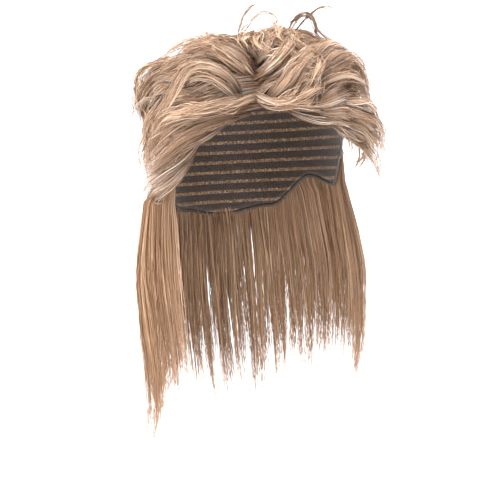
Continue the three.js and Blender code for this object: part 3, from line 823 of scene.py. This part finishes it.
# %% Fans of the crown and the back
CROWN_FANS = [
    {"count": 14, "first": [(0, 4), (40, 20), (70, 40)], "last": [(334, 4), (374, 20), (404, 40)],
     "off": [(4, 14, 15), (4, 14, 15)], "width": 15, "curl": 3.5, "turns": 1},
    {"count": 7, "first": [(-70, 10), (-50, 26), (-44, 37)], "last": [(60, 8), (44, 24), (36, 35)],
     "off": [(4, 8, 9), (4, 8, 9)], "width": 18, "curl": 3},
    {"count": 8, "first": [(-120, 14), (-90, 22), (-66, 40)], "last": [(150, 14), (110, 20), (74, 38)],
     "off": [(4, 14, 15), (4, 20, 23)]},
    {"count": 6, "first": [(-24, 26), (-46, 26), (-70, 38)], "last": [(-60, 22), (-80, 30), (-100, 46)],
     "off": [(4, 14, 15), (4, 16, 17)]},
    {"count": 7, "first": [(26, 26), (50, 26), (74, 38)], "last": [(60, 22), (84, 30), (104, 46)],
     "off": [(4, 20, 24), (4, 20, 24)]},
]
BACK_FANS = [
    {"count": 9, "first": [(132, 16), (134, 46), (132, 78)], "last": [(228, 16), (226, 46), (228, 78)],
     "off": [(4, 19, 20), (4, 17, 18)], "width": 18, "curl": 5.5},
    {"count": 10, "first": [(130, 38), (134, 62), (130, 92)], "last": [(230, 38), (226, 62), (230, 92)],
     "off": [(4, 15, 18), (4, 15, 18)], "width": 18, "curl": 5.5},
    {"count": 11, "first": [(130, 58), (132, 84), (130, 106)], "last": [(230, 58), (228, 84), (230, 106)],
     "off": [(4, 13, 16), (4, 13, 16)], "width": 18, "curl": 5},
    {"count": 10, "first": [(130, 14), (130, 48), (128, 86)], "last": [(230, 14), (230, 48), (232, 86)],
     "off": [(4, 7, 9), (4, 7, 9)], "width": 20, "curl": 3},
]
restart(13)
crown_locks = fans(CROWN_FANS)
restart(14)
back_locks = fans(BACK_FANS)
print(len(crown_locks), "locks on the crown and", len(back_locks), "at the back")

# %% Waved pieces
WAVED = {
    "right_waves": (right_locks, 2330, "right_swept_hair"),
    "left_waves": (left_locks, 2380, "left_swept_hair"),
    "crown_waves": (crown_locks, 1750, "crown_hair"),
    "back_waves": (back_locks, 1750, "back_waved_hair"),
}
for name, (locks, fibres, replaced) in WAVED.items():
    piece = hair_piece(name, locks, fibres, waved_fibre)
    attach(piece, "root")
    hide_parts(replaced)

# %% [markdown]
# ## Long hair
# The straight hair is sewn to the cap behind the ears and falls past the nape. It hangs in sheets that end
# in tresses of different lengths, so each fibre belongs to a tress and stops near its end. The sheet is a
# function of the angle round the wig and the way down, so no simulation is needed to hang it.

# %% Where the long hair hangs
# Shares of half the cap's width and depth, and of the tuck, are given at five shares of the fall.
TAIL_LENGTH = 336 * MM
NAPE_DOWN, SEWN_FROM, SEWN_SHARE = 112, 78, 0.3
SEWN_THICKNESS, HANG_THICKNESS = 5 * MM, 13 * MM
FALLS = [0, 0.3, 0.6, 0.8, 1]
SIDE_SHARES = [1.1, 1.26, 1.3, 1.28, 1.2]
BACK_SHARES = [1.0, 0.97, 0.9, 0.85, 0.8]
TUCK_SHARES = [0, 0.14, 0.22, 0.24, 0.24]
FRONT_FROM, FRONT_TO = 84, 108
NAPE_HEIGHT = float(on_cap(0, NAPE_DOWN, 0)[2])


def long_hair(piece, around, way, reach, off):
    """A point of the long hair: on the cap for the first part of its way, and then down to its reach, on an
    oval whose half width and depth change with the fall. The front edge turns in by the piece's tuck. In
    millimetres, the rest stands out by its bulge at the top, the lower half leans in by its lean, and the
    tips turn out by its flick, with the eighth power of the fall."""
    fall = reach * np.maximum(way - SEWN_SHARE, 0) / (1 - SEWN_SHARE)
    middle = (piece["from"] + piece["to"]) / 2
    turn = np.radians(middle + (around - middle) * (1 - piece["gather"] * fall))
    from_face = np.abs((around + 180) % 360 - 180)
    front = ease(-from_face, -FRONT_TO, -FRONT_FROM)
    inward = piece["tuck"] * np.interp(fall, FALLS, TUCK_SHARES) * front
    lean = piece["flick"] * np.minimum(fall, 1) ** 8 - piece["lean"] * fall**2
    lean = lean + piece["bulge"] * np.maximum(1 - fall, 0) * (1 - front)
    side = HALF_WIDTH * (np.interp(fall, FALLS, SIDE_SHARES) - inward) + off + MM * lean
    back = BACK * np.interp(fall, FALLS, BACK_SHARES) + off
    drop = NAPE_HEIGHT + (-TAIL_LENGTH - NAPE_HEIGHT) * fall
    hanging = np.stack(np.broadcast_arrays(side * np.sin(turn), -back * np.cos(turn), drop), -1)
    lying = np.clip(way / SEWN_SHARE, 0, 1)
    down = SEWN_FROM + (NAPE_DOWN - SEWN_FROM) * lying
    sewn = on_cap(around, down, CAP_WALL + SEWN_THICKNESS / 2 + off)
    return sewn + (hanging - sewn) * (lying**2)[..., None]


print("the long hair hangs free from", round(NAPE_HEIGHT / MM), "mm down to", round(-TAIL_LENGTH / MM), "mm")

# %% Long pieces in numbers
# Angles round the cap in degrees, lean, flick and bulge in millimetres. At each share of a sheet's width its
# hair ends at a reach, as a share of the tail length.
LONG = [
    {"name": "right_tresses", "node": "right_long_hair", "from": -146, "to": -79, "tuck": 1, "gather": 0.03,
     "lean": 4, "flick": 23, "bulge": 10, "fibres": 1400, "seed": 21,
     "share": [0, 0.3, 0.5, 0.6, 0.68, 0.77, 0.85, 1],
     "reach": [0.8, 0.86, 0.98, 1.08, 1.1, 0.94, 0.87, 0.7]},
    {"name": "back_tresses", "node": "back_long_hair", "from": 146, "to": 214, "tuck": 0, "gather": 0.16,
     "lean": 0, "flick": 0, "bulge": 0, "fibres": 1700, "seed": 22,
     "share": [0, 0.5, 1],
     "reach": [0.82, 0.92, 0.84]},
    {"name": "left_tresses", "node": "left_long_hair", "from": 86, "to": 146, "tuck": 0, "gather": 0,
     "lean": 14, "flick": 0, "bulge": 4, "fibres": 1400, "seed": 23,
     "share": [0, 0.12, 0.2, 0.3, 0.5, 0.8, 1],
     "reach": [0.92, 0.9, 0.56, 0.8, 0.78, 0.84, 0.82]},
]
print("long pieces", [row["name"] for row in LONG])

# %% Tresses
LONG_STATIONS = 11
TRESSES, WISPS = 6, 26
TRESS_CLOSING, WISP_CLOSING = 0.24, 0.6
LONGEST = 1.05
WANDER, DRIFT, DRIFTING = 1.5, 5, 0.15
WISP_DEPTH, WISP_SWING = 1.5 * MM, 1.2 * MM
LONG_THINNEST, LONG_THICKEST = 0.22 * MM, 0.38 * MM
WISP_SHADE = 0.6


def bunches(start, count, jitter):
    """For fibres that start at some shares of the sheet's width: the number of the bunch that each belongs
    to, out of count bunches of uneven width, and the middle of that bunch."""
    edges = np.concatenate([[0], np.cumsum(rng.uniform(1 - jitter, 1 + jitter, count))])
    edges = edges / edges[-1]
    number = np.clip(np.searchsorted(edges, start) - 1, 0, count - 1)
    return number, (edges[number] + edges[number + 1]) / 2


def long_fibres(piece, count):
    """The paths, radii, sides and shades of a long piece's fibres. Each starts at its own share of the width
    and lies at its own depth in the sheet, closes in on its wisp a lot and on its tress a little, and ends
    raggedly. The wisps lie in two layers with different edges, so that the gaps of one are covered by the
    other. A wisp wanders by a sine, and a few fibres drift off by the way to the power of 1.5."""
    start = rng.uniform(-0.03, 1.03, count)
    tress, tress_middle = bunches(start, TRESSES, 0.4)
    under = rng.random(count) < 0.5
    layers = zip(bunches(start, WISPS, 0.6), bunches(start, WISPS, 0.6))
    wisp, wisp_middle = (np.where(under, lower, upper) for lower, upper in layers)
    wisp = wisp + WISPS * under
    reach = np.interp(start, piece["share"], piece["reach"]) * (1 + rng.uniform(-0.07, 0.05, TRESSES))[tress]
    reach = reach * (1 + rng.uniform(-0.12, 0.05, 2 * WISPS))[wisp] * (1 - 0.4 * rng.random(count) ** 1.8)
    reach = np.minimum(reach, LONGEST)
    way = np.linspace(0, 1, LONG_STATIONS)[None]
    closing = ease(way, 0.3, 1)
    place = start[:, None] + (wisp_middle - start)[:, None] * WISP_CLOSING * closing
    place = place + (tress_middle[:, None] - place) * TRESS_CLOSING * closing
    around = piece["from"] + (piece["to"] - piece["from"]) * place

    phase = rng.uniform(0, 2 * np.pi, (2, 2 * WISPS))[:, wisp][..., None] + rng.normal(0, 0.5, (2, count, 1))
    turns = rng.uniform(0.6, 1.4, 2 * WISPS)[wisp][:, None]
    around = around + WANDER * way * np.sin(2 * np.pi * turns * way + phase[0])
    drift = (rng.random(count) < DRIFTING)[:, None] * rng.normal(0, DRIFT, (count, 1))
    around = around + (drift + rng.normal(0, 0.8, (count, 1))) * way**1.5
    thick = SEWN_THICKNESS + (HANG_THICKNESS - SEWN_THICKNESS) * ease(way, 0.15, 0.6)
    depth = (rng.uniform(0, 0.5, count) - 0.5 * under)[:, None] * thick * (1 - 0.4 * ease(way, 0.4, 1))
    depth = depth + rng.normal(0, WISP_DEPTH, 2 * WISPS)[wisp][:, None] * way
    depth = depth + WISP_SWING * way * np.sin(turns * 7 * way + phase[1])

    ways = np.broadcast_to(way, around.shape)
    paths = clear_of_cap(long_hair(piece, around, ways, reach[:, None], depth))
    radii = rng.uniform(LONG_THINNEST, LONG_THICKEST, count)[:, None]
    radii = radii * (1 - TIP_THINNING * ease(way, 0.55, 1))
    shade = WISP_SHADE * rng.random(2 * WISPS)[wisp] + (1 - WISP_SHADE) * rng.random(count)
    return paths, radii, radii, FIBRE_SIDES, shade


for row in LONG:
    restart(row["seed"])
    piece = mesh_object(row["name"], *tubes(*long_fibres(row, row["fibres"])), long_fibre)
    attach(piece, "root")
    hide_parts(row["node"])

# %% [markdown]
# ## Cap and binding
# The cap is a dark stretch net with rows of weft sewn round it, 9 mm apart: each is a narrow tape that holds
# the roots of a curtain of hair. With nobody in it, the rows show through the opening. Threads could be
# modelled one by one, but at this distance a pattern with some relief shows the same. The rows follow the
# cap's own map of rows, and the net's fine cells read the object's coordinates, so neither has a seam. Real
# net has cells of 1 mm, too fine to show, so these are 2 mm wide.

# %% Stretch net
NET_CELL, STITCH = 2 * MM, 1.6 * MM
TAPE_INSIDE, TAPE_EDGE = 0.13, 0.19
NET_RELIEF = 0.6 * MM


def cloth(name, roughness):
    """A cloth's material with its own roughness and a little sheen, and its node tree and shader."""
    material, tree, shader = new_material(name)
    shader.inputs["Roughness"].default_value = roughness
    shader.inputs["Sheen Weight"].default_value = 0.15
    return material, tree, shader


# Polyamide net, knitted and dyed dark brown, with a tape sewn on in rows. To the eye it is a matt fine broken
# grid of dark brown threads, and rough sandy lines where the roots of the hair lie in the tape. The middles of
# the cells, where the net is open, are painted shade: near black, for the dark seen through its holes.
NET_THREADS_AND_HOLE_SHADE = [(0.0, "#3D2F24"), (0.1, "#33271D"), (0.25, "#120D0A"), (1.0, "#0E0A08")]
TAPE_SHADES = [(0.3, "#3B2A1D"), (0.5, "#6A4F38"), (0.65, "#9A7A5B"), (0.8, "#B8977A")]
net, tree, shader = cloth("stretch_net", 0.7)
place = node(tree, "ShaderNodeTexCoord").outputs["Object"]
cells = node(tree, "ShaderNodeTexVoronoi", {"feature": "DISTANCE_TO_EDGE"}, Vector=place, Scale=1 / NET_CELL)
net_and_hole_shade = ramp(tree, cells.outputs["Distance"], NET_THREADS_AND_HOLE_SHADE)
row_map = node(tree, "ShaderNodeUVMap", {"uv_map": "rows"}).outputs["UV"]
rows = node(tree, "ShaderNodeSeparateXYZ", Vector=row_map)
row = node(tree, "ShaderNodeMath", {"operation": "FRACT"}, in_0=rows.outputs["Y"])
from_middle = node(tree, "ShaderNodeMath", {"operation": "SUBTRACT"}, in_0=row.outputs[0], in_1=0.5)
from_middle = node(tree, "ShaderNodeMath", {"operation": "ABSOLUTE"}, in_0=from_middle.outputs[0])
tape = node(tree, "ShaderNodeMapRange", Value=from_middle.outputs[0],
            From_Min=TAPE_INSIDE, From_Max=TAPE_EDGE, To_Min=1.0, To_Max=0.0)
stitches = node(tree, "ShaderNodeTexNoise", Vector=place, Scale=1 / STITCH, Detail=2.0)
tape_colour = ramp(tree, stitches.outputs["Fac"], TAPE_SHADES)
mixed = node(tree, "ShaderNodeMix", {"data_type": "RGBA"},
             in_0=tape.outputs["Result"], in_6=net_and_hole_shade, in_7=tape_colour)
tree.links.new(mixed.outputs[2], shader.inputs["Base Color"])
threads = node(tree, "ShaderNodeMapRange", Value=cells.outputs["Distance"],
               From_Min=0.05, From_Max=0.25, To_Min=0.4, To_Max=0.0)
height = node(tree, "ShaderNodeMath", {"operation": "MAXIMUM"},
              in_0=threads.outputs["Result"], in_1=tape.outputs["Result"])
height = node(tree, "ShaderNodeMath", {"operation": "MULTIPLY_ADD"},
              in_0=stitches.outputs["Fac"], in_1=0.5, in_2=height.outputs[0])
bump = node(tree, "ShaderNodeBump", Strength=0.7, Distance=NET_RELIEF, Height=height.outputs[0])
tree.links.new(bump.outputs["Normal"], shader.inputs["Normal"])
print(net.name, "has", len(tree.nodes), "nodes")

# %% Woven elastic
ELASTIC_THREAD = 0.8 * MM
ELASTIC_RELIEF = 0.2 * MM

# Rubber threads covered in polyester and woven to a tape. To the eye it is a dark cord-like edge with a fine
# grain, a little shinier than the net.
ELASTIC_SHADES = [(0.3, "#1C1511"), (0.7, "#463729")]
elastic, tree, shader = cloth("woven_elastic", 0.6)
place = node(tree, "ShaderNodeTexCoord").outputs["Object"]
threads = node(tree, "ShaderNodeTexNoise", Vector=place, Scale=1 / ELASTIC_THREAD, Detail=1.0)
tree.links.new(ramp(tree, threads.outputs["Fac"], ELASTIC_SHADES), shader.inputs["Base Color"])
bump = node(tree, "ShaderNodeBump", Strength=0.4, Distance=ELASTIC_RELIEF, Height=threads.outputs["Fac"])
tree.links.new(bump.outputs["Normal"], shader.inputs["Normal"])
print(elastic.name, "has", len(tree.nodes), "nodes")

# %% Cap
# Two shells share an edge: the outer one from the crown down, and the inner one back up to the crown.
ROW_SPACING = 9 * MM
CAP_COLUMNS, CAP_RINGS = 144, 44


def loop_quads(rings, size, closed):
    """Quads between rings of points that close on themselves, and from the last to the first if closed."""
    ring = np.arange(rings if closed else rings - 1)[:, None]
    side = np.arange(size)[None]
    a, b = ring * size + side, ring * size + (side + 1) % size
    shift = ((ring + 1) % rings) * size
    return np.stack([a, b, shift + (side + 1) % size, shift + side], -1).reshape(-1, 4)


around = np.arange(CAP_COLUMNS) * 360 / CAP_COLUMNS
share = np.linspace(0, 1, CAP_RINGS + 1)[1:]
down = edge_down(around)[None] * np.concatenate([share, share[::-1]])[:, None]
off = np.repeat([CAP_WALL, 0], CAP_RINGS)[:, None]
shells = on_cap(around[None], down, off).reshape(-1, 3)
points = np.concatenate([shells, [(0, 0, CAP_WALL)], [(0, 0, 0)]])
counted = np.append(np.radians(down).ravel() * CROWN / ROW_SPACING, [0, 0])
side = np.arange(CAP_COLUMNS)
after = (side + 1) % CAP_COLUMNS
crown_fan = np.stack([np.full(CAP_COLUMNS, len(points) - 2), side, after], -1)
seat_start = (2 * CAP_RINGS - 1) * CAP_COLUMNS
seat_fan = np.stack([np.full(CAP_COLUMNS, len(points) - 1), seat_start + after, seat_start + side], -1)
quads = loop_quads(2 * CAP_RINGS, CAP_COLUMNS, False)[:, ::-1]
spots = np.stack([counted * 0, counted], -1)
cap = mesh_object("net_cap", points, quads, np.concatenate([crown_fan, seat_fan]), spots, net, "rows")
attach(cap, "root")
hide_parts("wig_cap")

# %% Binding
# A band of four corners carried round the cap, a gap below its edge.
BINDING_COLUMNS = 288
around = np.arange(BINDING_COLUMNS) * 360 / BINDING_COLUMNS
top = edge_down(around) + np.degrees(GAP / CROWN)
bottom = top + np.degrees(BINDING_HEIGHT / CROWN)
off = np.array([0, CAP_WALL, CAP_WALL, 0])
rings = on_cap(around[:, None], np.stack([top, top, bottom, bottom], -1), off[None])
quads = loop_quads(BINDING_COLUMNS, len(off), True)[:, ::-1]
spots = np.zeros((BINDING_COLUMNS * len(off), 2))
binding = mesh_object("elastic_binding", rings.reshape(-1, 3), quads, np.zeros((0, 3), int), spots, elastic,
                      "plain")
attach(binding, "root")
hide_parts("cap_binding")

# %% [markdown]
# ## Studio
# A white cove all round, lit like a product picture. Its paper glows a little, as one that is lit from
# behind. A large soft light stands above the wearer's right, and weaker ones at the left and on top, so that
# the shadows stay faint and the fibres still show their sheen. A plain white world would be quicker, but the
# wig would then stand in no space and get no glow from below.

# %% Cove
FLOOR, FLOOR_MIDDLE, COVE_RADIUS, COVE_BEND, COVE_HEIGHT = -0.42, 0.5, 2.6, 0.8, 3.2
COVE_STEP = 5
PAPER_GRAIN, PAPER_ROUGHNESS, PAPER_GLOW = 3.0, 0.9, 0.35
bend = np.linspace(0, math.pi / 2, 10)
radius = np.concatenate([[FLOOR_MIDDLE], COVE_RADIUS - COVE_BEND + COVE_BEND * np.sin(bend), [COVE_RADIUS]])
height = np.concatenate([[0], COVE_BEND - COVE_BEND * np.cos(bend), [COVE_HEIGHT]]) + FLOOR
around = np.radians(np.arange(0, 360, COVE_STEP))
across, deep = radius[:, None] * np.sin(around), -radius[:, None] * np.cos(around)
points = np.stack(np.broadcast_arrays(across, deep, height[:, None]), -1).reshape(-1, 3)
side = np.arange(len(around))
middle = np.stack([np.full(len(side), len(points)), side, (side + 1) % len(side)], -1)
points = np.concatenate([points, [(0, 0, FLOOR)]])

# Coated background paper, unrolled in one bend. To the eye it is an even white with no edge in it.
paper, tree, shader = new_material("white_paper_cove")
place = node(tree, "ShaderNodeTexCoord").outputs["Object"]
grain = node(tree, "ShaderNodeTexNoise", Vector=place, Scale=PAPER_GRAIN)
shade = ramp(tree, grain.outputs["Fac"], [(0.0, "#F4F4F6"), (1.0, "#F8F8FA")])
tree.links.new(shade, shader.inputs["Base Color"])
shader.inputs["Roughness"].default_value = PAPER_ROUGHNESS
shader.inputs["Emission Color"].default_value = linear("#FAFAFC")
shader.inputs["Emission Strength"].default_value = PAPER_GLOW
quads = loop_quads(len(radius), len(around), False)[:, ::-1]
cove = mesh_object("cove", points, quads, middle, np.zeros((len(points), 2)), paper, "plain")

# %% Lights
# Places and sizes in metres, powers in watts.
LIT_POINT = (0, 0, -0.1)
SOFTBOXES = [
    {"name": "right_softbox", "place": (-0.62, -0.3, 1.55), "size": 0.7, "power": 80},
    {"name": "left_softbox", "place": (1.3, -0.5, 0.3), "size": 0.8, "power": 5},
    {"name": "top_softbox", "place": (-0.2, 0.1, 1.3), "size": 0.9, "power": 12},
]
ROOM_COLOUR, ROOM_LIGHT = "#F2F4F8", 0.34


def softbox(name, place, size, power):
    """A square soft light at a place, turned to the lit point."""
    data = bpy.data.lights.new(name, "AREA")
    data.size, data.energy = size, power
    lamp = bpy.data.objects.new(name, data)
    bpy.context.collection.objects.link(lamp)
    back = normalised(np.array(place, float) - np.array(LIT_POINT, float))
    side = normalised(np.cross([0, 0, 1], back))
    lamp.matrix_world = placed((side, np.cross(back, side), back), place)


for row in SOFTBOXES:
    softbox(**row)
world = bpy.data.worlds.new("pale_room")
bpy.context.scene.world = world
world.use_nodes = True
world.node_tree.nodes["Background"].inputs["Color"].default_value = linear(ROOM_COLOUR)
world.node_tree.nodes["Background"].inputs["Strength"].default_value = ROOM_LIGHT
bpy.context.scene.view_settings.view_transform = "Standard"
print("lights", [light.name for light in bpy.data.lights])
